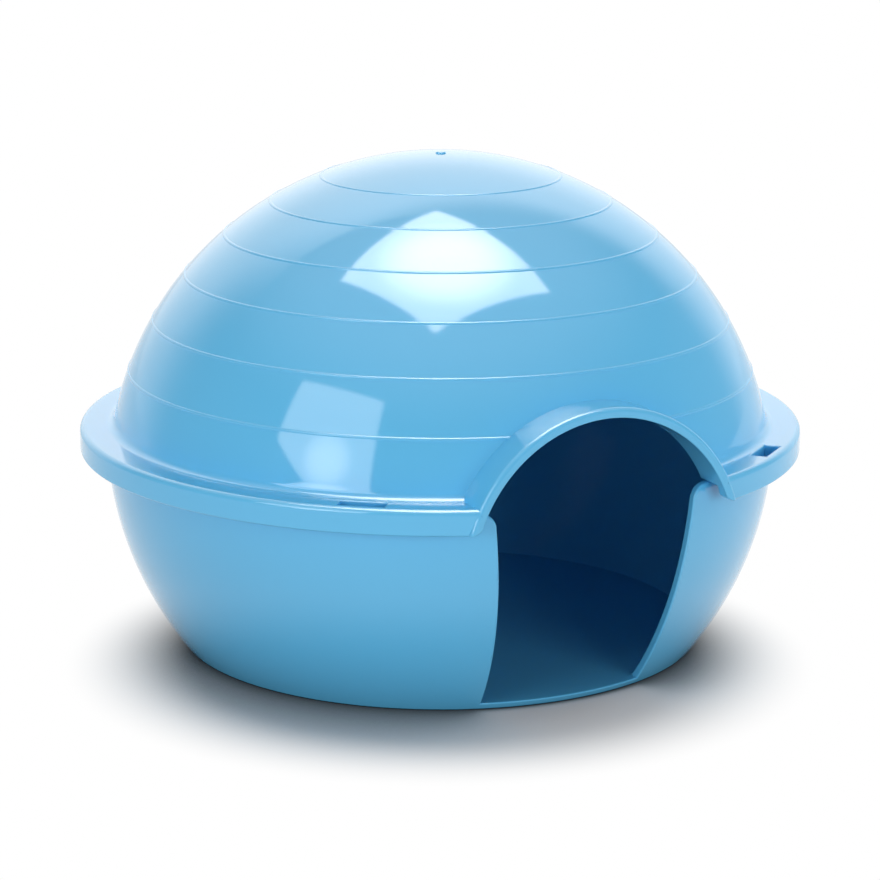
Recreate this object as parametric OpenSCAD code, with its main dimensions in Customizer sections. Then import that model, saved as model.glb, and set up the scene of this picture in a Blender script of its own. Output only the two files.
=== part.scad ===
// Rodent igloo: a ball-shaped lid with an arched doorway that sits on a bowl with a flat floor.
// The origin is the middle of the underside, +Z is up and the doorway faces -Y. Sizes are in millimetres.

/* [Body] */
// Radius of the ball that the dome is part of, and of the bowl at its rim
body_r = 76.5; // [68:0.5:90]
// Thickness of the dome's and the bowl's wall
wall_t = 2; // [1.2:0.1:3]
// How far the middle of the ball lies below the top of the lid's flange
ball_drop = 15.5; // [11:0.5:19]

/* [Bowl] */
// Height of the bowl's rim above the ground
bowl_h = 48.5; // [40:0.5:58]
// How much smaller the bowl's radius is at the ground than at the rim
foot_inset = 16.8; // [10:0.1:22]
// Rounding of the bowl's lower edge
foot_round = 1; // [0.4:0.1:1.6]
// Thickness of the floor
floor_t = 1.7; // [1.2:0.1:3]
// Thickness of the plate round the bowl's rim
rim_plate_t = 1.8; // [1.2:0.1:3]

/* [Lid flange] */
// How far the flange reaches out from the dome
flange_w = 6; // [5.6:0.1:9]
// Thickness of the flange
flange_t = 2.4; // [2:0.1:3.4]
// Thickness of the skirt that hangs from the flange
skirt_t = 2; // [1.4:0.1:2.4]
// How far the skirt reaches below the bowl's rim plate
skirt_tail = 1.4; // [1.2:0.1:5]
// Rounding of the flange's upper outer edge
flange_round = 1.9; // [0.6:0.1:2]
// Rounding of the skirt's lower edges
skirt_round = 0.5; // [0.2:0.1:0.6]
// Fillet between the dome and the flange
flange_fillet = 1.2; // [0.5:0.1:1.6]

/* [Doorway] */
// Inner radius of the arch
arch_r = 31.6; // [26:0.2:36]
// Wall of the arch's collar
arch_wall = 2.2; // [1.4:0.1:3]
// Rounding of the collar's front edges
arch_round = 0.5; // [0.2:0.1:0.6]
// How far each side of the bowl's cut stands in from the foot of the arch
jamb_step = 4.9; // [4.2:0.1:8]
// How much further each side of the cut stands in at the floor
jamb_lean = 4.4; // [0:0.1:8]
// Rounding of the cut's upper corners
jamb_round = 3.5; // [1:0.1:4]
// Rounding of the skirt's ends beside the doorway
skirt_end_round = 4; // [2:0.1:4.5]

/* [Ring beads] */
// Number of raised rings round the dome
bead_count = 6; // [0:1:7]
// Distance from ring to ring, measured over the dome
bead_pitch = 12.8; // [9:0.1:14]
// Radius of a ring's rounded back
bead_r = 0.6; // [0.4:0.05:1]
// How far a ring stands out of the dome
bead_out = 0.4; // [0.2:0.05:0.6]
// Diameter of the mark on top of the dome
gate_d = 2.4; // [1.5:0.1:5]
// Height of that mark
gate_h = 0.35; // [0.2:0.05:0.8]

/* [Windows and catches] */
// Angle from the doorway's middle, or from the middle of the back, to each window
window_angle = 39; // [33:1:60]
// Width of a window along the rim
window_w = 10; // [6:0.5:14]
// How far a window stays clear of the dome and of the skirt
window_margin = 0.25; // [0.1:0.05:0.4]
// How far a catch stands out from the skirt's inside
catch_out = 0.8; // [0.4:0.1:1]
// How much narrower a catch is than its window
catch_inset = 1; // [0.4:0.1:2]
// Running gap between the lid and the bowl's rim
fit_gap = 0.3; // [0.2:0.05:0.5]

/* [Hidden] */
$fn = 96;
// Facets of the large curves and of the beads
ball_fn = 240;
bead_fn = 32;
plastic = "#6cb6e2";
// Long enough to cut past any side of the object
reach = 3 * body_r;

// Sizes that follow from the ones above
flange_top = bowl_h + flange_t;
ball_z = flange_top - ball_drop;
flange_r = body_r + flange_w;
skirt_in_r = flange_r - skirt_t;
rim_plate_z = bowl_h - rim_plate_t;
rim_plate_r = skirt_in_r - catch_out - fit_gap;
skirt_z = rim_plate_z - skirt_tail;

// The bowl's wall is an arc that stands upright at the rim
bowl_arc_r = (bowl_h * bowl_h + foot_inset * foot_inset) / (2 * foot_inset);
bowl_arc_x = body_r - bowl_arc_r;

// Half width of the arch's opening at a height
function arch_half(z) = sqrt(pow(arch_r, 2) - pow(z - ball_z, 2));

arch_out_r = arch_r + arch_wall;
// The collar's front face lies where its outside meets the flange's edge
front_half = arch_half(flange_top) + arch_wall;
arch_front = sqrt(flange_r * flange_r - front_half * front_half);
jamb_top = arch_half(bowl_h) - jamb_step;
// Half width of the gap that the bowl's rim plate leaves for the collar's feet, and the angle that it spans
plate_gap_half = sqrt(pow(arch_out_r, 2) - pow(rim_plate_z - ball_z, 2)) + fit_gap;
plate_end_angle = asin(plate_gap_half / body_r);
skirt_end_z = skirt_z + skirt_end_round;
skirt_end_x = arch_half(skirt_end_z) + skirt_end_round;
// The cut that frees the skirt's ends stops a little below the middle of their rounding, inside the arch
skirt_cut_z = skirt_end_z - skirt_end_round / 10;

// Upper end of the fillet between the dome and the flange
fillet_z = flange_top + flange_fillet;
fillet_x = sqrt(pow(body_r + flange_fillet, 2) - pow(fillet_z - ball_z, 2));
fillet_share = body_r / (body_r + flange_fillet);
fillet_top = [fillet_x * fillet_share, ball_z + (fillet_z - ball_z) * fillet_share];

// Where the rounding of the bowl's lower edge meets the wall
foot_x = bowl_arc_x + sqrt(pow(bowl_arc_r - foot_round, 2) - pow(bowl_h - foot_round, 2));
foot_share = bowl_arc_r / (bowl_arc_r - foot_round);
foot_top = [bowl_arc_x + (foot_x - bowl_arc_x) * foot_share, bowl_h - (bowl_h - foot_round) * foot_share];

window_in_r = body_r + window_margin;
window_out_r = skirt_in_r - window_margin;
window_places = [window_angle, -window_angle, 180 - window_angle, window_angle - 180];
catch_w = window_w - catch_inset;
catch_top = rim_plate_z - fit_gap;
catch_slope = 0.5 * catch_out;
bead_angle = bead_pitch / body_r * 180 / PI;
first_bead = asin(ball_drop / body_r);

// A rectangle between two corners
module block2(low, high) {
    translate(low) square([high[0] - low[0], high[1] - low[1]]);
}

// A box between two corners
module block3(low, high) {
    translate(low) cube([high[0] - low[0], high[1] - low[1], high[2] - low[2]]);
}

// What lies outside a rounded corner: a square of one radius less the disc in it
module corner_waste(corner, radius, side_x, side_y) {
    middle = [corner[0] - side_x * radius, corner[1] - side_y * radius];
    difference() {
        translate([middle[0] - (side_x < 0 ? 2 * radius : 0), middle[1] - (side_y < 0 ? 2 * radius : 0)])
            square(2 * radius);
        translate(middle) circle(radius);
    }
}

// Turns a shape drawn across the doorway, X across and Y up, into a bar through the front
module through_front(near, far) {
    translate([0, -near, 0]) rotate([90, 0, 0]) linear_extrude(far - near) children();
}

// Puts a shape at each of the four windows
module at_windows() {
    for (turn = window_places) rotate([0, 0, turn - 90]) children();
}

// Outline of the lid's wall, flange and skirt, from the axis outwards
module lid_outline() {
    difference() {
        union() {
            intersection() {
                translate([0, ball_z]) circle(body_r, $fn = ball_fn);
                block2([0, bowl_h], [reach, reach]);
            }
            block2([0, bowl_h], [flange_r, flange_top]);
            block2([skirt_in_r, skirt_z], [flange_r, flange_top]);
            polygon([[0, flange_top - flange_t / 2], [fillet_x, flange_top - flange_t / 2],
                     [fillet_x, flange_top], fillet_top, [0, fillet_top[1]]]);
        }
        translate([fillet_x, fillet_z]) circle(flange_fillet);
        translate([0, ball_z]) circle(body_r - wall_t, $fn = ball_fn);
        corner_waste([flange_r, flange_top], flange_round, 1, 1);
        corner_waste([flange_r, skirt_z], skirt_round, 1, -1);
        corner_waste([skirt_in_r, skirt_z], skirt_round, -1, -1);
    }
}

// Outline of the collar, from the arch's axis outwards
module collar_outline() {
    difference() {
        block2([arch_r, 0], [arch_out_r, arch_front]);
        corner_waste([arch_out_r, arch_front], arch_round, 1, 1);
        corner_waste([arch_r, arch_front], arch_round, -1, 1);
    }
}

// The tube of the collar, lying along the doorway's axis
module collar_tube() {
    translate([0, 0, ball_z]) rotate([90, 0, 0]) rotate_extrude() collar_outline();
}

// The collar outside the dome, and its feet in the skirt beside the bowl's wall
module collar() {
    intersection() {
        collar_tube();
        block3([-reach, -reach, bowl_h], [reach, 0, reach]);
    }
    intersection() {
        collar_tube();
        block3([-reach, -reach, skirt_z], [reach, 0, bowl_h + flange_t / 2]);
        rotate_extrude() block2([rim_plate_r, skirt_z], [flange_r - skirt_t / 2, flange_top]);
    }
}

// What the doorway takes out of the lid
module lid_doorway() {
    translate([0, 0, ball_z]) rotate([90, 0, 0]) cylinder(r = arch_r, h = reach);
    block3([-skirt_end_x, -reach, 0], [skirt_end_x, -arch_front, reach]);
    through_front(0, reach) difference() {
        block2([-skirt_end_x, skirt_z - skirt_end_round], [skirt_end_x, skirt_cut_z]);
        for (side = [-1, 1])
            translate([side * skirt_end_x, skirt_end_z]) circle(skirt_end_round);
    }
}

// One ring bead round the dome
module bead(place) {
    angle = first_bead + bead_angle * place;
    middle_r = body_r + bead_out - bead_r;
    translate([0, 0, ball_z + middle_r * sin(angle)])
        rotate_extrude() translate([middle_r * cos(angle), 0]) circle(bead_r, $fn = bead_fn);
}

// The catches under the windows, with a slope for the bowl's rim to ride over
module catches() {
    intersection() {
        rotate_extrude() polygon([[skirt_in_r + skirt_t / 2, skirt_z + skirt_round],
                                  [skirt_in_r + skirt_t / 2, catch_top],
                                  [skirt_in_r - catch_out, catch_top],
                                  [skirt_in_r - catch_out, catch_top - catch_slope],
                                  [skirt_in_r, skirt_z + skirt_round]]);
        at_windows() block3([0, -catch_w / 2, 0], [reach, catch_w / 2, reach]);
    }
}

module dome_lid() {
    color(plastic) difference() {
        union() {
            rotate_extrude() lid_outline();
            for (place = [1:1:bead_count]) bead(place);
            translate([0, 0, ball_z + body_r - wall_t / 2]) cylinder(d = gate_d, h = wall_t / 2 + gate_h);
            difference() {
                collar();
                translate([0, 0, ball_z]) sphere(body_r - wall_t, $fn = ball_fn);
            }
            catches();
        }
        lid_doorway();
        at_windows() block3([window_in_r, -window_w / 2, rim_plate_z], [window_out_r, window_w / 2, reach]);
    }
}

// Outline of the bowl's wall and floor, from the axis outwards
module bowl_outline() {
    difference() {
        union() {
            difference() {
                intersection() {
                    translate([bowl_arc_x, bowl_h]) circle(bowl_arc_r, $fn = ball_fn);
                    block2([0, 0], [reach, bowl_h]);
                }
                polygon([[foot_x, 0], foot_top, [reach, foot_top[1]], [reach, 0]]);
            }
            translate([foot_x, foot_round]) circle(foot_round);
        }
        intersection() {
            translate([bowl_arc_x, bowl_h]) circle(bowl_arc_r - wall_t, $fn = ball_fn);
            block2([-reach, floor_t], [reach, reach]);
        }
    }
}

// The plate round the bowl's rim, which stops short of the collar's feet
module rim_plate() {
    difference() {
        rotate_extrude() difference() {
            block2([body_r - wall_t / 2, rim_plate_z], [rim_plate_r, bowl_h]);
            corner_waste([rim_plate_r, bowl_h], skirt_round, 1, 1);
            corner_waste([rim_plate_r, rim_plate_z], skirt_round, 1, -1);
        }
        difference() {
            linear_extrude(reach) polygon([[0, 0], [-reach * sin(plate_end_angle), -reach * cos(plate_end_angle)],
                                           [reach * sin(plate_end_angle), -reach * cos(plate_end_angle)]]);
            cylinder(r = body_r - wall_t / 4, h = reach);
        }
    }
}

// The bowl's cut: narrower at the floor, with rounded upper corners
module bowl_doorway() {
    through_front(body_r / 2, reach) difference() {
        union() {
            polygon([[-jamb_top + jamb_lean, floor_t], [jamb_top - jamb_lean, floor_t],
                     [jamb_top, bowl_h - jamb_round], [jamb_top, reach], [-jamb_top, reach],
                     [-jamb_top, bowl_h - jamb_round]]);
            block2([-jamb_top - jamb_round, bowl_h - jamb_round], [jamb_top + jamb_round, reach]);
        }
        for (side = [-1, 1])
            translate([side * (jamb_top + jamb_round), bowl_h - jamb_round]) circle(jamb_round);
    }
}

module bowl_base() {
    color(plastic) difference() {
        union() {
            rotate_extrude() bowl_outline();
            rim_plate();
        }
        bowl_doorway();
    }
}

dome_lid();
bowl_base();
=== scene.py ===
"""Looks of a small-pet igloo: two glossy blue shells on a white studio floor.

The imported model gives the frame. Each shell is modelled again here as a finely divided mesh with rounded
edges, in metres and in the same place, and then stands for its node.
"""

from __future__ import annotations

import logging
import math
from collections.abc import Callable, Iterable
from dataclasses import dataclass
from enum import Enum
from typing import Any

import bmesh
import bpy
from mathutils import Matrix, Vector

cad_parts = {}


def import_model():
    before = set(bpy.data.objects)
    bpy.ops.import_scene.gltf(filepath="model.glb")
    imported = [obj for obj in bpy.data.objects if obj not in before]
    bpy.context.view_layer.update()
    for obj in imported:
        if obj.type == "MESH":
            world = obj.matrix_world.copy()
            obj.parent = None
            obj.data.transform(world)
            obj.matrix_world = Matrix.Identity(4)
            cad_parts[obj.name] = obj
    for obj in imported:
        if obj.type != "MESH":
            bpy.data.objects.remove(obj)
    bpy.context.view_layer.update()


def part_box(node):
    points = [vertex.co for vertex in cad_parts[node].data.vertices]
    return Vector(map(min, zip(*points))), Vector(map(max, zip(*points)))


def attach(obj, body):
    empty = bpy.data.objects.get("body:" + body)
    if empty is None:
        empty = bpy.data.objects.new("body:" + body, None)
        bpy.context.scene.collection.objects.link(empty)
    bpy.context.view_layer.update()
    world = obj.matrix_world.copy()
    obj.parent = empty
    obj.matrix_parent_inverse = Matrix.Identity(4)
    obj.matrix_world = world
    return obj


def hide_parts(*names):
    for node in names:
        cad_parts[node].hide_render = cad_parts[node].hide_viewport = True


LOG = logging.getLogger("igloo")
MM = 0.001
# Vertices nearer to each other than this are one
WELD = 1e-6
# Outward edges that turn by more than this, in degrees, are rounded
CORNER = 40.0
# Makes a rounding an arc of a circle
CIRCULAR = 0.5
# How far the large faces lead the shading of the small ones beside them
LARGE_LEAD = 50
# Sides of the round tools that shape the doorway
ROUND_SIDES = 192
# Length of the tools that cut through to the outside, in flange radii
BEYOND = 1.2
WHITE = (1.0, 1.0, 1.0, 1.0)
# The doorway faces this way
DOOR = Vector((0.0, -1.0, 0.0))
UP = Vector((0.0, 0.0, 1.0))

Point2 = tuple[float, float]


class Join(Enum):
    """How one solid is worked into another."""

    ADD = "UNION"
    CUT = "DIFFERENCE"


class Outline(Enum):
    """How a drawn outline ends."""

    OPEN = "open"
    RING = "ring"
    FACE = "face"


class Body(Enum):
    """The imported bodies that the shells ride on."""

    LID = "lid"
    BASE = "base"


class Side(Enum):
    """The two sides of the doorway."""

    LEFT = -1
    RIGHT = 1


def polar(centre: Point2, radius: float, degrees: float) -> Point2:
    """Gives the point at an angle on a circle."""
    turn = math.radians(degrees)
    return centre[0] + radius * math.cos(turn), centre[1] + radius * math.sin(turn)


def arc(centre: Point2, radius: float, start: float, end: float, step: float) -> list[Point2]:
    """Lays points along a circle's arc.

    Args:
        centre: Middle of the circle.
        radius: Radius of the circle.
        start: Angle of the first point, in degrees.
        end: Angle of the last point, in degrees.
        step: Widest angle between two points, in degrees.

    Returns:
        The points from start to end, both ends included.
    """
    count = max(1, math.ceil(abs(end - start) / step))
    return [polar(centre, radius, start + (end - start) * i / count) for i in range(count + 1)]


def mirrored_across(right: list[Point2]) -> list[Point2]:
    """Closes the right half of an outline with its mirror image on the left."""
    return right + [(-x, z) for x, z in reversed(right)]


def activate(piece: bpy.types.Object) -> None:
    """Selects one object alone and makes it the active one.

    Args:
        piece: The object.
    """
    bpy.ops.object.select_all(action="DESELECT")
    piece.select_set(True)
    bpy.context.view_layer.objects.active = piece


def edit_all(piece: bpy.types.Object) -> None:
    """Opens one object in edit mode with all of its mesh selected.

    Args:
        piece: The object.
    """
    activate(piece)
    bpy.ops.object.mode_set(mode="EDIT")
    bpy.ops.mesh.select_all(action="SELECT")


def close_edit() -> None:
    """Leaves edit mode."""
    bpy.ops.object.mode_set(mode="OBJECT")


def draw_outline(name: str, points: Iterable[Point2], ends: Outline) -> bpy.types.Object:
    """Draws an outline in the upright plane through the X axis by extruding one vertex from place to place.

    Args:
        name: Name of the new object.
        points: Places of the outline, across and up.
        ends: Whether the outline stays open, runs back to its start, or is filled as a face.

    Returns:
        The new object.
    """
    places = [Vector((x, 0.0, z)) for x, z in points]
    if ends is Outline.RING:
        places.append(places[0])
    bpy.ops.object.select_all(action="DESELECT")
    bpy.ops.mesh.primitive_plane_add(size=MM, location=places[0])
    piece = bpy.context.object
    piece.name = name
    edit_all(piece)
    bpy.ops.mesh.merge(type="CENTER")
    for here, there in zip(places, places[1:]):
        bpy.ops.mesh.extrude_region_move(TRANSFORM_OT_translate={"value": there - here})
    bpy.ops.mesh.select_all(action="SELECT")
    if ends is Outline.FACE:
        bpy.ops.mesh.edge_face_add()
    bpy.ops.mesh.remove_doubles(threshold=WELD)
    close_edit()
    bpy.ops.object.transform_apply(location=True, rotation=True, scale=True)
    return piece


def tidy_solid(piece: bpy.types.Object) -> None:
    """Merges what lies in one place and turns every face outwards.

    Args:
        piece: The solid.
    """
    edit_all(piece)
    bpy.ops.mesh.remove_doubles(threshold=WELD)
    bpy.ops.mesh.dissolve_degenerate(threshold=WELD)
    bpy.ops.mesh.select_all(action="SELECT")
    bpy.ops.mesh.normals_make_consistent(inside=False)
    close_edit()


def spin_solid(piece: bpy.types.Object, centre: Vector, axis: Vector, turn: float, steps: int) -> None:
    """Turns an outline into a solid of revolution.

    The operator turns clockwise, so it is given the axis reversed.

    Args:
        piece: Object that holds the outline.
        centre: A point on the axis.
        axis: Direction of the axis.
        turn: Angle to spin through, in degrees.
        steps: Number of copies of the outline.
    """
    edit_all(piece)
    bpy.ops.mesh.spin(steps=steps, angle=math.radians(turn), center=centre, axis=-axis)
    close_edit()
    tidy_solid(piece)


def turn_solid(piece: bpy.types.Object, degrees: float, axis: str) -> None:
    """Turns a mesh about an axis of the frame.

    With no window the operator turns the other way, so the sign is changed.

    Args:
        piece: Object that holds the mesh.
        degrees: Angle to turn by.
        axis: X, Y or Z.
    """
    edit_all(piece)
    bpy.ops.transform.rotate(
        value=-math.radians(degrees), orient_axis=axis, orient_type="GLOBAL", center_override=(0.0, 0.0, 0.0)
    )
    close_edit()


def move_solid(piece: bpy.types.Object, way: Vector) -> None:
    """Moves a mesh.

    Args:
        piece: Object that holds the mesh.
        way: How far and which way it moves.
    """
    edit_all(piece)
    bpy.ops.transform.translate(value=way)
    close_edit()


def sweep_solid(piece: bpy.types.Object, along: Vector) -> None:
    """Extrudes a filled outline into a bar.

    Args:
        piece: Object that holds the outline.
        along: Direction and length of the bar.
    """
    edit_all(piece)
    bpy.ops.mesh.extrude_region_move(TRANSFORM_OT_translate={"value": along})
    close_edit()
    tidy_solid(piece)


def add_tool(name: str, operator: Callable[..., set[str]], **settings: Any) -> bpy.types.Object:
    """Adds a primitive that will be worked into a shell, with its place in its mesh.

    Args:
        name: Name of the new object.
        operator: Adds the primitive.
        settings: Size, place and turn, as the operator takes them.

    Returns:
        The new object.
    """
    bpy.ops.object.select_all(action="DESELECT")
    operator(**settings)
    tool = bpy.context.object
    tool.name = name
    bpy.ops.object.transform_apply(location=True, rotation=True, scale=True)
    return tool


def add_box(name: str, low: Vector, high: Vector, turn: float = 0.0) -> bpy.types.Object:
    """Adds a box.

    Args:
        name: Name of the new object.
        low: Its lowest corner before it is turned.
        high: Its highest corner before it is turned.
        turn: Angle that it is turned by about the Z axis, in degrees.

    Returns:
        The box.
    """
    return add_tool(
        name,
        bpy.ops.mesh.primitive_cube_add,
        size=1.0,
        location=Matrix.Rotation(math.radians(turn), 3, "Z") @ ((low + high) / 2),
        rotation=(0.0, 0.0, math.radians(turn)),
        scale=high - low,
    )


def work_in(piece: bpy.types.Object, tool: bpy.types.Object, join: Join) -> None:
    """Works a tool solid into a piece and removes the tool.

    Args:
        piece: The solid that stays.
        tool: The solid that is added or cut away.
        join: Which of the two.
    """
    activate(piece)
    modifier = piece.modifiers.new("work in", "BOOLEAN")
    modifier.operation = join.value
    modifier.object = tool
    modifier.solver = "EXACT"
    bpy.ops.object.modifier_apply(modifier=modifier.name)
    mesh = tool.data
    bpy.data.objects.remove(tool)
    bpy.data.meshes.remove(mesh)


def is_corner(edge: bmesh.types.BMEdge) -> bool:
    """Says whether an edge points outwards and turns by more than the least angle of a corner."""
    return len(edge.link_faces) == 2 and edge.is_convex and edge.calc_face_angle() > math.radians(CORNER)


def draw_in_slivers(piece: bpy.types.Object, reach: float) -> None:
    """Merges vertices that lie very near a corner's edge into that edge, so that it can be rounded evenly.

    Args:
        piece: The mesh to clean.
        reach: Longest edge that is taken away.
    """
    activate(piece)
    bpy.ops.object.mode_set(mode="EDIT")
    mesh = bmesh.from_edit_mesh(piece.data)
    corners = {edge for edge in mesh.edges if is_corner(edge)}
    on_corner = {vertex for edge in corners for vertex in edge.verts}
    targets: dict[bmesh.types.BMVert, bmesh.types.BMVert] = {}
    kept: set[bmesh.types.BMVert] = set()
    for edge in mesh.edges:
        if edge.calc_length() >= reach:
            continue
        first, second = edge.verts
        if first not in on_corner:
            first, second = second, first
        if first not in on_corner or (second in on_corner and edge not in corners):
            continue
        if first in targets or second in targets or second in kept:
            continue
        targets[second] = first
        kept.add(first)
    bmesh.ops.weld_verts(mesh, targetmap=targets)
    bmesh.update_edit_mesh(piece.data)
    close_edit()


def round_corners(
    piece: bpy.types.Object, width: float, segments: int, where: Callable[[Vector], bool]
) -> int:
    """Rounds the corners of a solid.

    Args:
        piece: The solid.
        width: Width of the rounding on each side.
        segments: Faces across the rounding.
        where: Says whether an edge whose middle is given is rounded.

    Returns:
        How many edges were rounded.
    """
    activate(piece)
    bpy.ops.object.mode_set(mode="EDIT")
    bpy.ops.mesh.select_mode(type="EDGE")
    bpy.ops.mesh.select_all(action="DESELECT")
    mesh = bmesh.from_edit_mesh(piece.data)
    count = 0
    for edge in mesh.edges:
        middle = (edge.verts[0].co + edge.verts[1].co) / 2
        if is_corner(edge) and where(middle):
            edge.select_set(True)
            count += 1
    bmesh.update_edit_mesh(piece.data)
    if count:
        bpy.ops.mesh.bevel(
            offset=width, segments=segments, profile=CIRCULAR, affect="EDGES", clamp_overlap=False
        )
    bpy.ops.mesh.select_mode(type="VERT")
    close_edit()
    tidy_solid(piece)
    return count


def finish_shading(piece: bpy.types.Object, sharp: float) -> None:
    """Shades a piece smooth and lets its large faces lead.

    Args:
        piece: The piece.
        sharp: Edges that turn by more than this, in degrees, stay sharp.
    """
    activate(piece)
    bpy.ops.object.shade_smooth_by_angle(angle=math.radians(sharp), keep_sharp_edges=False)
    modifier = piece.modifiers.new("even shading", "WEIGHTED_NORMAL")
    modifier.keep_sharp = True
    modifier.weight = LARGE_LEAD
    bpy.ops.object.modifier_apply(modifier=modifier.name)


@dataclass(frozen=True)
class Noise:
    """A noise pattern on Object coordinates.

    Attributes:
        scale: How often it varies in a metre.
        detail: How many finer layers lie over it.
    """

    scale: float
    detail: float

    def add(self, tree: bpy.types.NodeTree, place: bpy.types.NodeSocket) -> bpy.types.NodeSocket:
        """Adds the noise to a material.

        Args:
            tree: The material's nodes.
            place: Object coordinates.

        Returns:
            The noise's value.
        """
        noise = tree.nodes.new("ShaderNodeTexNoise")
        noise.inputs["Scale"].default_value = self.scale
        noise.inputs["Detail"].default_value = self.detail
        tree.links.new(place, noise.inputs["Vector"])
        return noise.outputs["Fac"]


@dataclass(frozen=True)
class GlossPlastic:
    """Glossy moulded plastic with a faint unevenness of colour and surface.

    Attributes:
        name: Name of the material.
        shade: Base colour, linear.
        deep_shade: Colour where the plastic is a touch denser, linear.
        roughness: Least roughness.
        roughness_spread: How much rougher the dullest spots are.
        ior: Refractive index, which sets how strongly it mirrors.
        flow: Where the colour varies, as pigment does along the flow of the plastic.
        haze: Where the roughness varies, as handling makes it.
        ripple: The faint waves of a cooled moulding.
        ripple_height: How high they rise, in metres.
        grain: The fine grain of the surface.
        grain_height: How high it rises, in metres.
    """

    name: str
    shade: tuple[float, float, float]
    deep_shade: tuple[float, float, float]
    roughness: float
    roughness_spread: float
    ior: float
    flow: Noise = Noise(14.0, 3.0)
    haze: Noise = Noise(90.0, 5.0)
    ripple: Noise = Noise(28.0, 1.0)
    ripple_height: float = 0.00004
    grain: Noise = Noise(1500.0, 2.0)
    grain_height: float = 0.000002

    def build(self) -> bpy.types.Material:
        """Makes the material.

        Returns:
            The finished material.
        """
        material = bpy.data.materials.new(self.name)
        material.use_nodes = True
        tree = material.node_tree
        shader = tree.nodes["Principled BSDF"]
        shader.inputs["IOR"].default_value = self.ior
        place = tree.nodes.new("ShaderNodeTexCoord").outputs["Object"]
        mix = tree.nodes.new("ShaderNodeMix")
        mix.data_type = "RGBA"
        mix.inputs["A"].default_value = (*self.deep_shade, 1.0)
        mix.inputs["B"].default_value = (*self.shade, 1.0)
        tree.links.new(self.flow.add(tree, place), mix.inputs["Factor"])
        tree.links.new(mix.outputs["Result"], shader.inputs["Base Color"])
        spread = tree.nodes.new("ShaderNodeMapRange")
        spread.inputs["To Min"].default_value = self.roughness
        spread.inputs["To Max"].default_value = self.roughness + self.roughness_spread
        tree.links.new(self.haze.add(tree, place), spread.inputs["Value"])
        tree.links.new(spread.outputs["Result"], shader.inputs["Roughness"])
        ripple = self._bump(tree, self.ripple_height, self.ripple.add(tree, place))
        grain = self._bump(tree, self.grain_height, self.grain.add(tree, place))
        tree.links.new(ripple.outputs["Normal"], grain.inputs["Normal"])
        tree.links.new(grain.outputs["Normal"], shader.inputs["Normal"])
        material.diffuse_color = (*self.shade, 1.0)
        return material

    @staticmethod
    def _bump(tree: bpy.types.NodeTree, height: float, pattern: bpy.types.NodeSocket) -> bpy.types.Node:
        """Adds a node that makes a surface uneven.

        Args:
            tree: The material's nodes.
            height: How high the pattern rises, in metres.
            pattern: The pattern.

        Returns:
            The node.
        """
        bump = tree.nodes.new("ShaderNodeBump")
        bump.inputs["Distance"].default_value = height
        tree.links.new(pattern, bump.inputs["Height"])
        return bump


BLUE_PLASTIC = GlossPlastic(
    name="blue_plastic",
    shade=(0.107, 0.47, 0.77),
    deep_shade=(0.1, 0.455, 0.757),
    roughness=0.05,
    roughness_spread=0.03,
    ior=1.58,
)


@dataclass(frozen=True)
class Measures:
    """Sizes that both shells follow, in metres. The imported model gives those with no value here.

    Attributes:
        bowl_top: Height of the bowl's rim.
        skirt_bottom: Height of the lid's lower edge.
        flange_radius: Radius of the lid over its flange.
        lid_top: Height of the whole object.
        arch_front: How far the collar reaches forwards.
        flange_reach: How far the flange stands out from the dome.
        ball_drop: How far the ball's middle lies below the flange's upper face.
        arch_radius: Inner radius of the collar.
        plate_reach: How far the rim plate stands out.
        fit_gap: Gap between what meets without bearing.
        columns: Sides of each shell round its axis.
    """

    bowl_top: float
    skirt_bottom: float
    flange_radius: float
    lid_top: float
    arch_front: float
    wall: float = 2.0 * MM
    flange_reach: float = 6.0 * MM
    flange_thick: float = 2.4 * MM
    ball_drop: float = 15.5 * MM
    arch_radius: float = 31.6 * MM
    arch_wall: float = 2.2 * MM
    plate_thick: float = 1.8 * MM
    plate_reach: float = 2.9 * MM
    fit_gap: float = 0.3 * MM
    columns: int = 240

    @classmethod
    def from_frame(cls) -> Measures:
        """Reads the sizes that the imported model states.

        Returns:
            The sizes.
        """
        lid_low, lid_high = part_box("dome_lid")
        _, bowl_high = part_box("bowl_base")
        return cls(
            bowl_top=bowl_high.z,
            skirt_bottom=lid_low.z,
            flange_radius=lid_high.y,
            lid_top=lid_high.z,
            arch_front=-lid_low.y,
        )

    @property
    def body_radius(self) -> float:
        """Radius of the dome's ball."""
        return self.flange_radius - self.flange_reach

    @property
    def flange_top(self) -> float:
        """Height of the flange's upper face."""
        return self.bowl_top + self.flange_thick

    @property
    def ball(self) -> Point2:
        """Middle of the dome's ball, across and up."""
        return 0.0, self.flange_top - self.ball_drop

    @property
    def arch_centre(self) -> Vector:
        """A point on the doorway's axis."""
        return Vector((0.0, 0.0, self.ball[1]))

    def ball_angle(self, radius: float, height: float) -> float:
        """Gives the angle, in degrees, at which a ball about the dome's middle reaches a height."""
        return math.degrees(math.asin((height - self.ball[1]) / radius))

    def arch_half(self, height: float) -> float:
        """Gives half the width of the arch's opening at a height."""
        return math.sqrt(self.arch_radius**2 - (height - self.ball[1]) ** 2)


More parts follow.
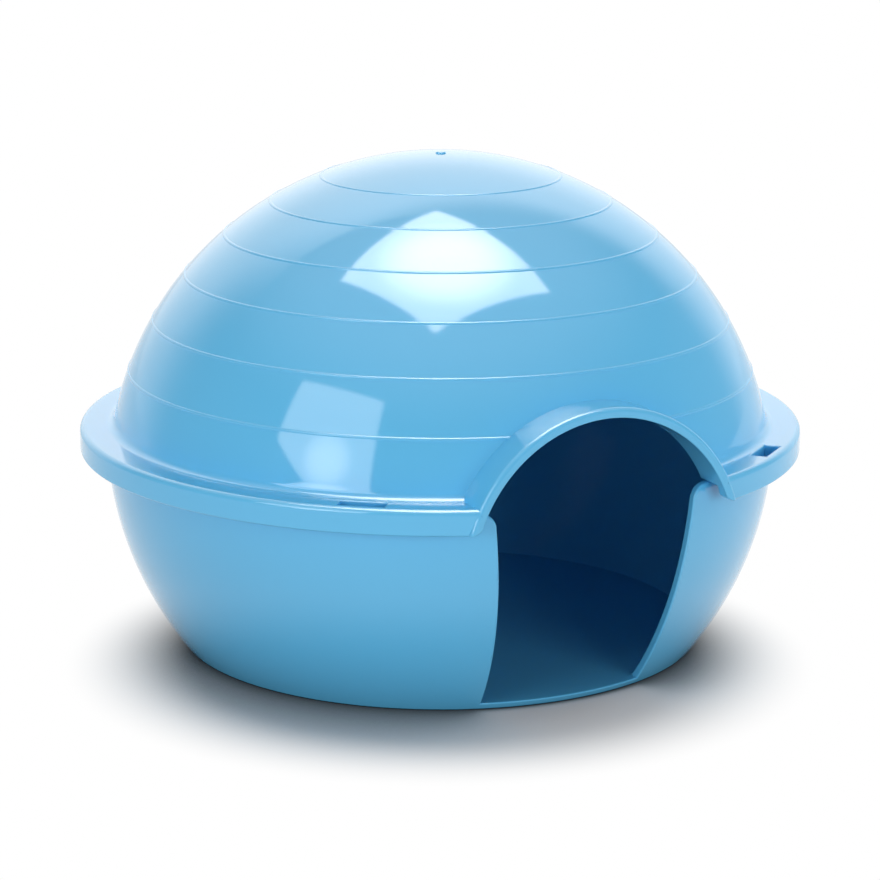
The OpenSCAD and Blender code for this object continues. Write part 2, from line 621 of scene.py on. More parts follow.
@dataclass
class DomeLid:
    """The upper shell: dome with ring beads, flange, skirt, collar, windows and catches.

    Lengths are in metres and angles in degrees. A step is the widest angle between two points of an arc.

    Attributes:
        sizes: Sizes shared with the bowl.
        finish: Plastic that it is moulded in.
        node: The node that it stands for.
        bead_pitch: From one ring bead to the next, along the ball.
        bead_out: How far a ring bead stands out.
        skirt_end_round: Radius of the skirt's ends beside the doorway.
        skirt_end_stop: How far below its middle that rounding stops, as a share of its radius.
        window_angle: How far the windows lie from the middle of the doorway and of the back.
        window_margin: How far they stay from the walls.
        catch_out: How far a catch stands out.
        catch_inset: How much narrower it is than its window.
        collar_round: Radius of the collar's outer edge.
        collar_lip: Radius of its inner edge.
        collar_depth: How far back it starts, as a share of the ball's radius.
        edge_round: Width of the small roundings.
        sliver: Longest edge that is drawn into a corner before it is rounded.
        clear: How far a tool stays from a face that it should leave alone.
        sharp: Edges that turn by more than this stay sharp.
    """

    sizes: Measures
    finish: bpy.types.Material
    node: str = "dome_lid"
    bead_count: int = 6
    bead_pitch: float = 12.8 * MM
    bead_radius: float = 0.5 * MM
    bead_out: float = 0.15 * MM
    fillet: float = 2.0 * MM
    flange_round: float = 1.3 * MM
    skirt_thick: float = 2.0 * MM
    skirt_round: float = 0.5 * MM
    skirt_end_round: float = 4.0 * MM
    skirt_end_stop: float = 0.1
    window_angle: float = 39.0
    window_width: float = 10.0 * MM
    window_margin: float = 0.25 * MM
    catch_out: float = 0.8 * MM
    catch_inset: float = 1.0 * MM
    gate_radius: float = 1.2 * MM
    collar_round: float = 1.0 * MM
    collar_lip: float = 0.3 * MM
    collar_depth: float = 0.75
    edge_round: float = 0.35 * MM
    edge_segments: int = 3
    sliver: float = 0.12 * MM
    clear: float = 0.03 * MM
    ring_step: float = 0.8
    bead_step: float = 15.0
    fillet_step: float = 20.0
    flange_step: float = 12.0
    edge_step: float = 22.5
    inner_step: float = 2.5
    mouth_step: float = 11.25
    skirt_end_step: float = 7.5
    catch_columns: int = 8
    gate_sides: int = 48
    sharp: float = 34.0

    def build(self) -> bpy.types.Object:
        """Models the lid and puts it in the place of its node.

        Returns:
            The finished lid.
        """
        piece = self._shell()
        for tool in self._opening():
            work_in(piece, tool, Join.CUT)
        for part in (self._collar(), *self._catches(), self._gate_mark()):
            work_in(piece, part, Join.ADD)
        for tool in (self._skirt_waste(), *self._windows()):
            work_in(piece, tool, Join.CUT)
        tidy_solid(piece)
        draw_in_slivers(piece, self.sliver)
        count = round_corners(piece, self.edge_round, self.edge_segments, self._is_rounded)
        LOG.info("%s: %d edges rounded", self.node, count)
        finish_shading(piece, self.sharp)
        return dress(piece, self.node + "_shell", self.finish, Body.LID, self.node)

    def _is_rounded(self, middle: Vector) -> bool:
        """Says whether a corner is rounded: all but those close to the skirt's inside, where room is short.

        Args:
            middle: Middle of the edge.

        Returns:
            Whether it is rounded.
        """
        sizes = self.sizes
        window = abs(middle.z - sizes.bowl_top) < self.clear
        foot = middle.z < sizes.skirt_bottom + 2 * self.clear
        by_skirt = sizes.body_radius < middle.xy.length < self._skirt_inner + self.clear
        return not (by_skirt and (window or foot))

    @property
    def _skirt_inner(self) -> float:
        """Radius of the skirt's inner face."""
        return self.sizes.flange_radius - self.skirt_thick

    def _bead(self, degrees: float) -> list[Point2]:
        """Draws one ring bead's back.

        Args:
            degrees: Where on the ball it lies, as an angle from the level.

        Returns:
            The points from its upper foot to its lower one.
        """
        radius = self.sizes.body_radius
        middle = radius + self.bead_out - self.bead_radius
        lift = (radius**2 + middle**2 - self.bead_radius**2) / (2 * middle) - middle
        half = math.degrees(math.acos(lift / self.bead_radius))
        centre = polar(self.sizes.ball, middle, degrees)
        return arc(centre, self.bead_radius, degrees + half, degrees - half, self.bead_step)

    def _dome_outline(self) -> list[Point2]:
        """Draws the dome's outside with its beads.

        Returns:
            The points from the top down to the flange's fillet.
        """
        sizes = self.sizes
        radius, ball = sizes.body_radius, sizes.ball
        flange = sizes.ball_angle(radius, sizes.flange_top)
        pitch = math.degrees(self.bead_pitch / radius)
        fillet_z = sizes.flange_top + self.fillet
        fillet_angle = sizes.ball_angle(radius + self.fillet, fillet_z)
        points: list[Point2] = []
        above = 90.0
        for place in range(self.bead_count, 0, -1):
            bead = self._bead(flange + pitch * place)
            top = math.degrees(math.atan2(bead[0][1] - ball[1], bead[0][0]))
            points += arc(ball, radius, above, top, self.ring_step)[:-1] + bead
            above = math.degrees(math.atan2(bead[-1][1] - ball[1], bead[-1][0]))
        points += arc(ball, radius, above, fillet_angle, self.ring_step)[1:-1]
        centre = polar(ball, radius + self.fillet, fillet_angle)
        return points + arc(centre, self.fillet, 180.0 + fillet_angle, 270.0, self.fillet_step)

    def _shell(self) -> bpy.types.Object:
        """Spins the dome, flange and skirt.

        Returns:
            The shell, with no doorway yet.
        """
        sizes = self.sizes
        outer, inner = sizes.flange_radius, self._skirt_inner
        top, bottom = sizes.flange_top, sizes.skirt_bottom
        edge, low = self.flange_round, self.skirt_round
        dome_inner = sizes.body_radius - sizes.wall
        under = sizes.ball_angle(dome_inner, sizes.bowl_top)
        points = self._dome_outline()
        points += arc((outer - edge, top - edge), edge, 90.0, 0.0, self.flange_step)
        points += arc((outer - low, bottom + low), low, 0.0, -90.0, self.edge_step)
        points += arc((inner + low, bottom + low), low, 270.0, 180.0, self.edge_step)
        points += [(inner, sizes.bowl_top)]
        points += arc(sizes.ball, dome_inner, under, 90.0, self.inner_step)
        piece = draw_outline("lid shell", points, Outline.OPEN)
        spin_solid(piece, Vector(), UP, 360.0, sizes.columns)
        return piece

    def _collar(self) -> bpy.types.Object:
        """Makes the collar: a tube about the doorway's axis that ends in the dome, with feet in the skirt.

        Returns:
            The collar.
        """
        sizes = self.sizes
        inner, outer = sizes.arch_radius, sizes.arch_radius + sizes.arch_wall
        front, back = sizes.arch_front, sizes.body_radius * self.collar_depth
        edge, lip = self.collar_round, self.collar_lip
        points = [(inner, back)]
        points += arc((inner + lip, front - lip), lip, 180.0, 90.0, self.edge_step)
        points += arc((outer - edge, front - edge), edge, 90.0, 0.0, self.mouth_step)
        points += [(outer, back)]
        piece = draw_outline("collar", points, Outline.RING)
        turn_solid(piece, 90.0, "X")
        move_solid(piece, sizes.arch_centre)
        spin_solid(piece, sizes.arch_centre, DOOR, 360.0, ROUND_SIDES)
        for tool in self._collar_waste():
            work_in(piece, tool, Join.CUT)
        return piece

    def _collar_waste(self) -> list[bpy.types.Object]:
        """Makes what the collar stops at.

        Returns:
            The room inside the dome, the bowl's wall and what lies below the skirt's lower edge.
        """
        sizes = self.sizes
        reach = sizes.flange_radius * BEYOND
        top = sizes.bowl_top + self.clear
        low = sizes.skirt_bottom + self.clear
        room = add_tool(
            "room",
            bpy.ops.mesh.primitive_uv_sphere_add,
            segments=ROUND_SIDES,
            ring_count=ROUND_SIDES // 2,
            radius=sizes.body_radius - sizes.wall - self.clear,
            location=sizes.arch_centre,
        )
        wall = add_tool(
            "wall",
            bpy.ops.mesh.primitive_cylinder_add,
            vertices=sizes.columns,
            radius=sizes.body_radius + sizes.plate_reach,
            depth=top,
            location=(0.0, 0.0, top / 2),
        )
        below = add_box("below", Vector((-reach, -reach, low - reach)), Vector((reach, reach, low)))
        return [room, wall, below]

    def _directions(self) -> list[float]:
        """Gives the angle of each window from the X axis, in degrees."""
        sides = [side.value * self.window_angle for side in Side]
        return [-90.0 + side for side in sides] + [90.0 + side for side in sides]

    def _catches(self) -> list[bpy.types.Object]:
        """Makes the sloped catches on the skirt's inside.

        Returns:
            One catch under each window.
        """
        sizes = self.sizes
        top = sizes.bowl_top - sizes.plate_thick - sizes.fit_gap
        foot = sizes.skirt_bottom + self.skirt_round
        back = self._skirt_inner + self.skirt_thick / 2
        tip = self._skirt_inner - self.catch_out
        slope_top = top - self.catch_out / 2
        outline = [(back, foot), (back, top), (tip, top), (tip, slope_top), (self._skirt_inner, foot)]
        spread = math.degrees((self.window_width - self.catch_inset) / self._skirt_inner)
        catches: list[bpy.types.Object] = []
        for direction in self._directions():
            catch = draw_outline("catch", outline, Outline.FACE)
            turn_solid(catch, direction - spread / 2, "Z")
            spin_solid(catch, Vector(), UP, spread, self.catch_columns)
            catches.append(catch)
        return catches

    def _gate_mark(self) -> bpy.types.Object:
        """Makes the small round mark on top of the dome.

        Returns:
            A short round bar that stands in the wall.
        """
        sizes = self.sizes
        depth = sizes.wall / 2 + sizes.lid_top - sizes.ball[1] - sizes.body_radius
        return add_tool(
            "gate mark",
            bpy.ops.mesh.primitive_cylinder_add,
            vertices=self.gate_sides,
            radius=self.gate_radius,
            depth=depth,
            location=(0.0, 0.0, sizes.lid_top - depth / 2),
        )

    def _opening(self) -> list[bpy.types.Object]:
        """Makes what frees the doorway before the collar goes in.

        Returns:
            A bar as wide as the middle of the collar's wall, and a block in front of the collar.
        """
        sizes = self.sizes
        length = sizes.flange_radius * BEYOND
        bar = add_tool(
            "opening",
            bpy.ops.mesh.primitive_cylinder_add,
            vertices=ROUND_SIDES,
            radius=sizes.arch_radius + sizes.arch_wall / 2,
            depth=length,
            location=sizes.arch_centre + DOOR * length / 2,
            rotation=(math.radians(90.0), 0.0, 0.0),
        )
        half = sizes.arch_half(sizes.flange_top) + sizes.arch_wall - self.clear
        front = sizes.arch_front - self.collar_lip
        return [bar, add_box("front", Vector((-half, -length, 0.0)), Vector((half, -front, sizes.lid_top)))]

    @property
    def _skirt_end(self) -> Point2:
        """Middle of the rounding of the skirt's end, across and up."""
        height = self.sizes.skirt_bottom + self.skirt_end_round
        return self.sizes.arch_half(height) + self.skirt_end_round, height

    def _skirt_waste(self) -> bpy.types.Object:
        """Makes the bar that cuts the skirt away under the arch and leaves its ends round.

        Returns:
            The bar.
        """
        centre, radius = self._skirt_end, self.skirt_end_round
        stop = math.degrees(math.asin(self.skirt_end_stop)) - 180.0
        right = [(centre[0], centre[1] - radius * 2)] + arc(centre, radius, -90.0, stop, self.skirt_end_step)
        bar = draw_outline("skirt waste", mirrored_across(right), Outline.FACE)
        sweep_solid(bar, DOOR * self.sizes.flange_radius * BEYOND)
        return bar

    def _windows(self) -> list[bpy.types.Object]:
        """Makes the blocks that cut the windows through the flange.

        Returns:
            One block for each window.
        """
        sizes = self.sizes
        half, margin = self.window_width / 2, self.window_margin
        low = Vector((sizes.body_radius + margin, -half, sizes.bowl_top - sizes.plate_thick))
        high = Vector((self._skirt_inner - margin, half, sizes.lid_top))
        return [add_box("window", low, high, direction) for direction in self._directions()]


@dataclass
class BowlBase:
    """The lower shell: wall, floor, rim plate and the doorway's cut.

    Lengths are in metres and angles in degrees. A step is the widest angle between two points of an arc.

    Attributes:
        sizes: Sizes shared with the lid.
        finish: Plastic that it is moulded in.
        node: The node that it stands for.
        foot_inset: How much smaller the foot's radius is than the rim's.
        jamb_inset: How much narrower than the arch the doorway is at the rim, on each side.
        jamb_lean: How much narrower it is again at the floor.
        cut_rise: How high the cut reaches, in heights of the bowl.
        edge_round: Width of the small roundings.
        sliver: Longest edge that is drawn into a corner before it is rounded.
        sharp: Edges that turn by more than this stay sharp.
    """

    sizes: Measures
    finish: bpy.types.Material
    node: str = "bowl_base"
    foot_inset: float = 16.8 * MM
    foot_round: float = 1.0 * MM
    floor_thick: float = 1.7 * MM
    jamb_inset: float = 4.9 * MM
    jamb_lean: float = 4.4 * MM
    jamb_round: float = 3.5 * MM
    cut_rise: float = 1.5
    edge_round: float = 0.5 * MM
    edge_segments: int = 4
    sliver: float = 0.25 * MM
    foot_step: float = 10.0
    wall_step: float = 1.6
    jamb_step: float = 7.5
    plate_columns: int = 200
    sharp: float = 40.0

    def build(self) -> bpy.types.Object:
        """Models the bowl and puts it in the place of its node.

        Returns:
            The finished bowl.
        """
        piece = self._shell()
        work_in(piece, self._rim_plate(), Join.ADD)
        work_in(piece, self._doorway(), Join.CUT)
        tidy_solid(piece)
        draw_in_slivers(piece, self.sliver)
        count = round_corners(piece, self.edge_round, self.edge_segments, lambda middle: True)
        LOG.info("%s: %d edges rounded", self.node, count)
        finish_shading(piece, self.sharp)
        return dress(piece, self.node + "_shell", self.finish, Body.BASE, self.node)

    @property
    def _wall_radius(self) -> float:
        """Radius of the arc that the wall's outside follows."""
        top = self.sizes.bowl_top
        return (top**2 + self.foot_inset**2) / (2 * self.foot_inset)

    def _shell(self) -> bpy.types.Object:
        """Spins the wall and the floor.

        Returns:
            The bowl, with no doorway yet.
        """
        sizes = self.sizes
        radius, top, low = self._wall_radius, sizes.bowl_top, self.foot_round
        centre = (sizes.body_radius - radius, top)
        foot_x = centre[0] + math.sqrt((radius - low) ** 2 - (top - low) ** 2)
        foot = math.degrees(math.asin((low - top) / (radius - low)))
        inner = radius - sizes.wall
        floor = math.degrees(math.asin((self.floor_thick - top) / inner))
        points: list[Point2] = [(0.0, 0.0)]
        points += arc((foot_x, low), low, -90.0, foot, self.foot_step)[:-1]
        points += arc(centre, radius, foot, 0.0, self.wall_step)
        points += arc(centre, inner, 0.0, floor, self.wall_step)
        points += [(0.0, self.floor_thick)]
        piece = draw_outline("bowl shell", points, Outline.OPEN)
        spin_solid(piece, Vector(), UP, 360.0, sizes.columns)
        return piece

    def _rim_plate(self) -> bpy.types.Object:
        """Spins the plate round the rim, which stops short of the collar's feet.

        Returns:
            The plate.
        """
        sizes = self.sizes
        low = sizes.bowl_top - sizes.plate_thick
        inner = sizes.body_radius - sizes.wall / 2
        outer = sizes.body_radius + sizes.plate_reach
        tube = sizes.arch_radius + sizes.arch_wall
        half = math.sqrt(tube**2 - (low - sizes.ball[1]) ** 2) + sizes.fit_gap
        end = math.degrees(math.asin(half / sizes.body_radius))
        outline = [(inner, low), (outer, low), (outer, sizes.bowl_top), (inner, sizes.bowl_top)]
        plate = draw_outline("rim plate", outline, Outline.FACE)
        turn_solid(plate, -90.0 + end, "Z")
        spin_solid(plate, Vector(), UP, 360.0 - 2 * end, self.plate_columns)
        return plate

    def _doorway(self) -> bpy.types.Object:
        """Makes the bar that cuts the doorway: narrower at the floor, with rounded upper corners.

        Returns:
            The bar.
        """
        sizes = self.sizes
        top = sizes.arch_half(sizes.bowl_top) - self.jamb_inset
        corner = (top + self.jamb_round, sizes.bowl_top - self.jamb_round)
        right = [(top - self.jamb_lean, self.floor_thick)]
        right += arc(corner, self.jamb_round, 180.0, 90.0, self.jamb_step)
        right += [(corner[0], sizes.bowl_top * self.cut_rise)]
        bar = draw_outline("doorway", mirrored_across(right), Outline.FACE)
        move_solid(bar, DOOR * sizes.body_radius / 2)
        sweep_solid(bar, DOOR * sizes.body_radius)
        return bar


def dress(
    piece: bpy.types.Object, name: str, finish: bpy.types.Material, body: Body, node: str
) -> bpy.types.Object:
    """Names a finished shell, gives it its plastic and puts it in the place of its node.

    Args:
        piece: The finished mesh.
        name: Name of the piece.
        finish: Its material.
        body: The body that it rides on.
        node: The node that it stands for.

    Returns:
        The piece.
    """
    piece.name = name
    piece.data.name = name
    piece.data.materials.clear()
    piece.data.materials.append(finish)
    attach(piece, body.value)
    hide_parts(node)
    LOG.info("%s: %d faces, rides on %s", name, len(piece.data.polygons), body.value)
    return piece


class Pattern:
    """Adds the nodes of a pattern to a tree, one call for each step."""

    def __init__(self, tree: bpy.types.NodeTree) -> None:
        """Keeps the tree that the nodes go into."""
        self.tree = tree

    def value(self, operation: str, *terms: bpy.types.NodeSocket | float) -> bpy.types.NodeSocket:
        """Adds a sum and gives its result.

        Args:
            operation: What the Math node does.
            terms: Its inputs, each a socket or a number.

        Returns:
            The node's output.
        """
        node = self.tree.nodes.new("ShaderNodeMath")
        node.operation = operation
        for place, term in zip(node.inputs, terms):
            if isinstance(term, bpy.types.NodeSocket):
                self.tree.links.new(term, place)
            else:
                place.default_value = term
        return node.outputs["Value"]

    def _measure(self, operation: str, first: bpy.types.NodeSocket, second: Vector) -> bpy.types.NodeSocket:
        """Adds a measure of two vectors.

        Args:
            operation: What the Vector Math node does.
            first: A vector that differs from place to place.
            second: A fixed vector.

        Returns:
            The node's output.
        """
        node = self.tree.nodes.new("ShaderNodeVectorMath")
        node.operation = operation
        self.tree.links.new(first, node.inputs[0])
        node.inputs[1].default_value = second
        return node.outputs["Value"]

    def along(self, way: bpy.types.NodeSocket, direction: Vector) -> bpy.types.NodeSocket:
        """Gives how far a vector reaches along a direction."""
        return self._measure("DOT_PRODUCT", way, direction)

    def between(self, place: bpy.types.NodeSocket, centre: Vector) -> bpy.types.NodeSocket:
        """Gives how far a place lies from a centre."""
        return self._measure("DISTANCE", place, centre)

    def ease(
        self, value: bpy.types.NodeSocket, start: float, end: float, low: float = 0.0, high: float = 1.0
    ) -> bpy.types.NodeSocket:
        """Turns a value smoothly from one level to another.

        Args:
            value: The value.
            start: Value at which the low level ends.
            end: Value from which the high level holds.
            low: The low level.
            high: The high level.

        Returns:
            The level.
        """
        node = self.tree.nodes.new("ShaderNodeMapRange")
        node.interpolation_type = "SMOOTHSTEP"
        self.tree.links.new(value, node.inputs["Value"])
        for name, number in (("From Min", start), ("From Max", end), ("To Min", low), ("To Max", high)):
            node.inputs[name].default_value = number
        return node.outputs["Result"]


@dataclass(frozen=True)
class Glow:
    """The brightest spot of a pane.

    Attributes:
        way: Direction of its middle.
        start: How far along that direction it starts, where 1 is its middle.
        level: How much brighter its middle is than the rest of the pane.
    """

    way: Vector
    start: float
    level: float


@dataclass(frozen=True)
class Pane:
    """A bright pane of the studio, as the plastic mirrors it.

    Directions are given as seen by the camera: right of the object, towards the camera, and up.

    Attributes:
        sides: For each side, the direction square to it and into the pane, and where along that direction
            the pane starts and is full.
        level: How bright it is, where 1 is white.
        glow: Its brightest spot.
    """

    sides: tuple[tuple[Vector, float, float], ...]
    level: float
    glow: Glow

    @classmethod
    def between(cls, corners: tuple[Vector, ...], soft: float, level: float, glow: Glow) -> Pane:
        """Makes a pane with straight sides from its corners in turn.

        Args:
            corners: Where each corner lies.
            soft: Half the width over which a side fades.
            level: How bright it is.
            glow: Its brightest spot.

        Returns:
            The pane.
        """
        middle = sum(corners, Vector())
        sides = []
        for here, there in zip(corners, corners[1:] + corners[:1]):
            inwards = here.cross(there).normalized()
            if inwards.dot(middle) < 0.0:
                inwards.negate()
            sides.append((inwards, -soft, soft))
        return cls(tuple(sides), level, glow)


OVERHEAD = Pane.between(
    (
        Vector((-0.028, 0.46, 1.0)),
        Vector((-0.493, -0.08, 1.0)),
        Vector((-0.02, -0.555, 1.0)),
        Vector((0.564, -0.029, 1.0)),
    ),
    soft=0.012,
    level=6.4,
    glow=Glow(Vector((0.025, -0.059, 0.998)), 0.936, 7.0),
)
FRONT_LEFT = Pane.between(
    (
        Vector((-0.689, 0.376, 0.619)),
        Vector((-0.308, 0.706, 0.637)),
        Vector((-0.398, 0.905, 0.151)),
        Vector((-0.693, 0.709, 0.131)),
        Vector((-0.822, 0.460, 0.335)),
    ),
    soft=0.012,
    level=3.3,
    glow=Glow(Vector((-0.616, 0.724, 0.31)), 0.984, 2.9),
)
REAR = Pane(
    sides=(
        (Vector((0.0, -0.862, -0.507)), -0.08, -0.03),
        (Vector((-0.435, -0.726, -0.529)), -0.2, 0.08),
        (Vector((-0.469, -0.883, 0.0)), 0.08, 0.5),
        (Vector((0.259, -0.966, 0.0)), 0.02, 0.5),
    ),
    level=0.8,
    glow=Glow(Vector((-0.1, -0.7, 0.707)), 0.6, 1.0),
)


@dataclass(frozen=True)
class Lamp:
    """A soft rectangular lamp that lights the object without being mirrored in it.

    Attributes:
        name: Name of the lamp.
        place: Its middle, right of the object, towards the camera and up.
        size: Its width and height.
        level: How bright its face is, where 1 is white.
    """

    name: str
    place: tuple[float, float, float]
    size: tuple[float, float]
    level: float


@dataclass
class Studio:
    """White floor, soft lights and the camera.

    Angles are in degrees and lengths in metres. Directions are given as seen by the camera: right of the
    object, towards the camera, and up.

    Attributes:
        look_height: Height of the point that the camera looks at.
        floor_shade: Shade of the floor for the light that it sends up, far from the object.
        painted_near_shade: The same close to the object, where it is darker as painted shade, so less light
            comes up.
        near_start, near_end: How far from the middle it starts and stops changing.
        seen_shade: Shade of the floor as it is seen, before the painted contact shadow darkens it.
        painted_contact_reach: How far the painted contact shadow reaches where the object touches the floor;
            ambient occlusion darkens the floor's colour there.
        shadow_middle: How far the middle of the shadow's painted fade lies towards the camera.
            shadow_start, shadow_end: How far from there the lit floor starts to fade into plain white and is
                gone, which
            paints the shadow's outer edge in place.
        ambient: Brightness of the world for what doesn't mirror it.
        ceiling_start: How far up the ceiling starts, where 1 is overhead.
    """

    look_height: float = 0.0451
    camera_azimuth: float = -27.2
    camera_elevation: float = 14.17
    camera_distance: float = 0.729
    camera_roll: float = 0.15
    lens: float = 129.2
    sensor: float = 36.0
    floor_size: float = 6.0
    floor_shade: float = 0.8
    # Painted shade: the floor's colour for the light it sends up is darker close to the object
    painted_near_shade: float = 0.4
    near_start: float = 0.065
    near_end: float = 0.17
    seen_shade: float = 0.8
    # Reach of the painted contact shadow, which ambient occlusion paints into the floor's colour
    painted_contact_reach: float = 0.032
    shadow_middle: float = 0.022
    shadow_start: float = 0.055
    shadow_end: float = 0.086
    ambient: float = 0.3
    mirrored_room: float = 0.4
    mirrored_ceiling: float = 1.7
    ceiling_start: float = 0.45
    panes: tuple[Pane, ...] = (OVERHEAD, FRONT_LEFT, REAR)
    lamps: tuple[Lamp, ...] = (
        Lamp("overhead softbox", (0.03, -0.02, 0.9), (0.62, 0.62), 0.5),
        Lamp("low front left softbox", (-0.92, 0.89, 0.25), (0.8, 0.46), 5.3),
        Lamp("low front right softbox", (0.7, 1.08, 0.25), (0.7, 0.46), 6.2),
        Lamp("right panel", (1.11, -0.59, 0.38), (0.8, 0.6), 3.3),
        Lamp("rear panel", (0.0, -1.28, 0.27), (0.8, 0.5), 2.9),
        Lamp("high rear left softbox", (-0.72, -0.42, 1.04), (0.7, 0.6), 2.2),
        Lamp("high rear right softbox", (0.66, -0.51, 1.04), (0.8, 0.6), 2.1),
    )

    def build(self) -> None:
        """Sets up the whole studio."""
        self._camera()
        self._floor()
        self._world()
        for lamp in self.lamps:
            self._hang(lamp)
        bpy.context.scene.view_settings.view_transform = "Standard"

    @property
    def _towards(self) -> Vector:
        """The level direction from the object to the camera."""
        turn = math.radians(self.camera_azimuth)
        return Vector((math.sin(turn), -math.cos(turn), 0.0))

    @property
    def _right(self) -> Vector:
        """The level direction to the camera's right."""
        return UP.cross(self._towards)

    def _place(self, seen: Iterable[float]) -> Vector:
        """Gives a place in the part's frame from one that is given as the camera sees it."""
        right, towards, up = seen
        return self._right * right + self._towards * towards + UP * up

    def _camera(self) -> None:
        """Sets the camera at the photograph's angle."""
        rise = math.radians(self.camera_elevation)
        away = self._towards * math.cos(rise) + UP * math.sin(rise)
        target = Vector((0.0, 0.0, self.look_height))
        data = bpy.data.cameras.new("camera")
        data.lens = self.lens
        data.sensor_width = self.sensor
        camera = bpy.data.objects.new("camera", data)
        bpy.context.scene.collection.objects.link(camera)
        turn = (-away).to_track_quat("-Z", "Y").to_matrix().to_4x4()
        roll = Matrix.Rotation(math.radians(self.camera_roll), 4, "Z")
        camera.matrix_world = Matrix.Translation(target + away * self.camera_distance) @ turn @ roll
        bpy.context.scene.camera = camera

    def _floor(self) -> None:
        """Lays a white floor that shows the object's shadow, cast by the lamps with a painted contact shadow
        and painted edge, and fades into the background.
        """
        bpy.ops.object.select_all(action="DESELECT")
        bpy.ops.mesh.primitive_plane_add(size=self.floor_size)
        floor = bpy.context.object
        floor.name = "floor"
        floor.data.materials.append(self._floor_finish())

    def _floor_finish(self) -> bpy.types.Material:
        """Makes the floor's material.

        What sees or mirrors the floor finds the lamps' shadow near the object, deepened by a painted contact
        shadow from ambient occlusion, and white beyond a fade fixed in place that paints the shadow's outer
        edge. The light that the floor sends up comes from a colour with painted shade, darker near the object
        and where it touches.

        Returns:
            The material.
        """
        material = bpy.data.materials.new("floor")
        material.use_nodes = True
        tree = material.node_tree
        tree.nodes.clear()
        pattern = Pattern(tree)
        path = tree.nodes.new("ShaderNodeLightPath").outputs
        near = tree.nodes.new("ShaderNodeBsdfDiffuse")
        seen = tree.nodes.new("ShaderNodeBsdfDiffuse")
        # Ambient occlusion that darkens the floor's colour as a painted contact shadow
        painted_contact_shadow = tree.nodes.new("ShaderNodeAmbientOcclusion")
        painted_contact_shadow.inputs["Distance"].default_value = self.painted_contact_reach
        white = tree.nodes.new("ShaderNodeEmission")
        white.inputs["Color"].default_value = WHITE
        shown = tree.nodes.new("ShaderNodeMixShader")
        whole = tree.nodes.new("ShaderNodeMixShader")
        out = tree.nodes.new("ShaderNodeOutputMaterial")
        place = tree.nodes.new("ShaderNodeTexCoord").outputs["Object"]
        # The lit floor fades into plain white by distance from a point shifted towards the camera: the
        # shadow's outer edge is painted in place
        away = pattern.between(place, self._towards * self.shadow_middle)
        link = tree.links.new
        link(pattern.ease(away, self.shadow_start, self.shadow_end), shown.inputs["Fac"])
        # Painted shade: the colour for the light that the floor sends up is darker near the object
        reach = pattern.between(place, Vector())
        shade = pattern.ease(reach, self.near_start, self.near_end, self.painted_near_shade, self.floor_shade)
        # Painted contact shadow: the floor's colour darkens where ambient occlusion is low, both for the
        # light sent up and as seen
        painted_contact_shade = pattern.ease(painted_contact_shadow.outputs["AO"], 0.0, 1.0)
        link(pattern.value("MULTIPLY", painted_contact_shade, shade), near.inputs["Color"])
        link(pattern.value("MULTIPLY", painted_contact_shade, self.seen_shade), seen.inputs["Color"])
        link(seen.outputs["BSDF"], shown.inputs[1])
        link(white.outputs["Emission"], shown.inputs[2])
        link(pattern.value("MAXIMUM", path["Is Camera Ray"], path["Is Glossy Ray"]), whole.inputs["Fac"])
        link(near.outputs["BSDF"], whole.inputs[1])
        link(shown.outputs["Shader"], whole.inputs[2])
        link(whole.outputs["Shader"], out.inputs["Surface"])
        return material

    def _world(self) -> None:
        """Makes the world: white to the camera, bright panes to what mirrors it, an even glow to the rest."""
        world = bpy.data.worlds.new("studio")
        bpy.context.scene.world = world
        world.use_nodes = True
        tree = world.node_tree
        background = tree.nodes["Background"]
        background.inputs["Color"].default_value = WHITE
        pattern = Pattern(tree)
        path = tree.nodes.new("ShaderNodeLightPath").outputs
        mirrored = self._mirrored(pattern, tree.nodes.new("ShaderNodeTexCoord").outputs["Generated"])
        above = pattern.value("SUBTRACT", mirrored, self.ambient)
        extra = pattern.value("MULTIPLY", above, path["Is Glossy Ray"])
        white = pattern.value("MULTIPLY", path["Is Camera Ray"], 1.0 - self.ambient)
        strength = pattern.value("ADD", pattern.value("ADD", extra, white), self.ambient)
        tree.links.new(strength, background.inputs["Strength"])

    def _mirrored(self, pattern: Pattern, way: bpy.types.NodeSocket) -> bpy.types.NodeSocket:
        """Adds up the brightness that the plastic mirrors from each direction.

        Args:
            pattern: Adds the nodes.
            way: The direction that is looked in.

        Returns:
            The brightness.
        """
        height = pattern.along(way, UP)
        total = pattern.ease(height, self.ceiling_start, 1.0, self.mirrored_room, self.mirrored_ceiling)
        for pane in self.panes:
            spot = pattern.along(way, self._place(pane.glow.way.normalized()))
            level = pattern.ease(spot, pane.glow.start, 1.0, pane.level, pane.level + pane.glow.level)
            for inwards, start, full in pane.sides:
                across = pattern.along(way, self._place(inwards))
                level = pattern.value("MULTIPLY", level, pattern.ease(across, start, full))
            total = pattern.value("ADD", total, level)
        return total

    def _hang(self, lamp: Lamp) -> None:
        """Hangs a lamp so that it faces the object, upright and square to the camera's own up.

        Args:
            lamp: The lamp.
        """
        data = bpy.data.lights.new(lamp.name, "AREA")
        data.shape = "RECTANGLE"
        data.size, data.size_y = lamp.size
        data.energy = lamp.level * math.pi * lamp.size[0] * lamp.size[1]
        light = bpy.data.objects.new(lamp.name, data)
        bpy.context.scene.collection.objects.link(light)
        place = self._place(lamp.place)
        turn = (Vector((0.0, 0.0, self.look_height)) - place).to_track_quat("-Z", "Y").to_matrix().to_4x4()
        light.matrix_world = Matrix.Translation(place) @ turn
        light.visible_glossy = False
        light.visible_camera = False


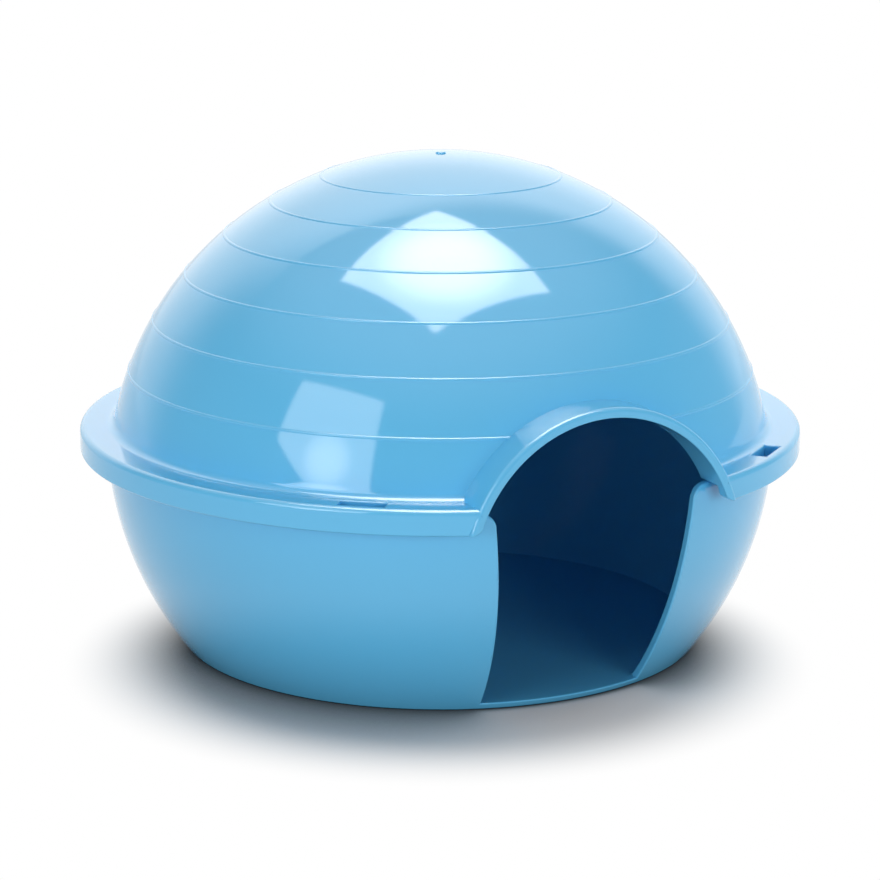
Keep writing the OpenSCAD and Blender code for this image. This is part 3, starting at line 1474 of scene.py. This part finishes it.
def main() -> None:
    """Builds the studio and both shells, and logs each shell's name and faces."""
    logging.basicConfig(level=logging.INFO, format="%(name)s: %(message)s")
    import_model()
    sizes = Measures.from_frame()
    plastic = BLUE_PLASTIC.build()
    Studio().build()
    for shell in (BowlBase(sizes, plastic), DomeLid(sizes, plastic)):
        piece = shell.build()
        LOG.info("built %s", piece.name)


if __name__ == "__main__":
    main()
